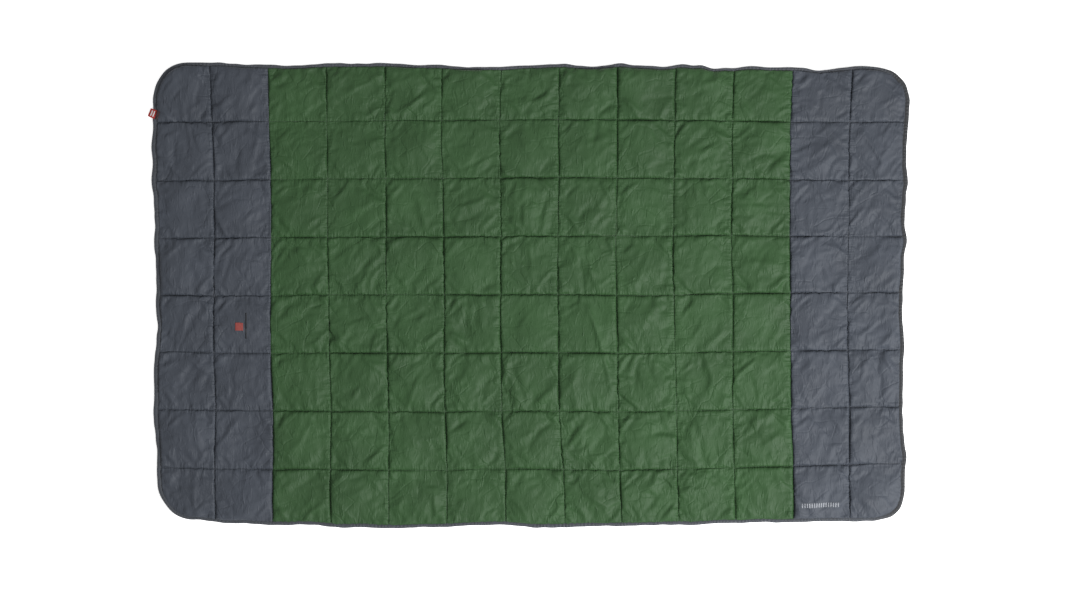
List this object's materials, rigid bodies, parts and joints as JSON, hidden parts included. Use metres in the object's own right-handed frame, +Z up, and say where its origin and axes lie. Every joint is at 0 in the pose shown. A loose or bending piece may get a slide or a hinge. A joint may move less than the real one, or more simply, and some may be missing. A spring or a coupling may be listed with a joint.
{
  "type": "camp quilt",
  "caption": "Rectangular quilted camp blanket lying flat, square stitched pockets, green centre with charcoal end panels, bound edge and rounded corners.",
  "frame": {"origin": "centre of the quilt in plan, on the ground plane under it", "axes": "+X along the quilt from the head end (side label) to the foot end, +Y across the width towards the far side, +Z up from the ground through the face"},
  "size_m": [2.0007, 1.215, 0.0202],
  "materials": {
    "green_shell": "satin",
    "charcoal_shell": "satin",
    "lining_cloth": "satin",
    "batting": "matte",
    "binding_tape": "matte",
    "green_thread": "matte",
    "charcoal_thread": "matte",
    "red_label": "matte",
    "red_print": "matte",
    "dark_print": "matte",
    "pale_print": "matte"
  },
  "bodies": {
    "near_half": {"face_head_near": "charcoal_shell", "face_centre_near": "green_shell", "face_foot_near": "charcoal_shell", "lining_near": "lining_cloth", "batting_near": "batting", "edge_binding_near": "binding_tape", "binding_stitch_near": "charcoal_thread", "quilting_column_01_near": "charcoal_thread", "quilting_column_02_near": "charcoal_thread", "quilting_column_03_near": "green_thread", "quilting_column_04_near": "green_thread", "quilting_column_05_near": "green_thread", "quilting_column_06_near": "green_thread", "quilting_column_07_near": "green_thread", "quilting_column_08_near": "green_thread", "quilting_column_09_near": "green_thread", "quilting_column_10_near": "green_thread", "quilting_column_11_near": "charcoal_thread", "quilting_column_12_near": "charcoal_thread", "quilting_row_1": "green_thread", "quilting_row_2": "green_thread", "quilting_row_3": "green_thread", "quilting_row_4": "green_thread", "print_spot": "red_print", "print_bar": "dark_print", "print_strip": "pale_print"},
    "far_half": {"face_head_far": "charcoal_shell", "face_centre_far": "green_shell", "face_foot_far": "charcoal_shell", "lining_far": "lining_cloth", "batting_far": "batting", "edge_binding_far": "binding_tape", "binding_stitch_far": "charcoal_thread", "quilting_column_01_far": "charcoal_thread", "quilting_column_02_far": "charcoal_thread", "quilting_column_03_far": "green_thread", "quilting_column_04_far": "green_thread", "quilting_column_05_far": "green_thread", "quilting_column_06_far": "green_thread", "quilting_column_07_far": "green_thread", "quilting_column_08_far": "green_thread", "quilting_column_09_far": "green_thread", "quilting_column_10_far": "green_thread", "quilting_column_11_far": "charcoal_thread", "quilting_column_12_far": "charcoal_thread", "quilting_row_5": "green_thread", "quilting_row_6": "green_thread", "quilting_row_7": "green_thread", "label_tack": "charcoal_thread"},
    "label": {"side_label": "red_label", "label_bars": "pale_print"}
  },
  "joints": [
    {"name": "half_fold", "type": "hinge", "parent": "near_half", "child": "far_half", "pos_m": [0, 0, 0.0209], "axis": [1, 0, 0], "range_deg": [0, 180]},
    {"name": "label_flap", "type": "hinge", "parent": "far_half", "child": "label", "pos_m": [-0.984, 0.47, 0.0094], "axis": [0.3746, 0.9272, 0], "range_deg": [0, 60]}
  ]
}
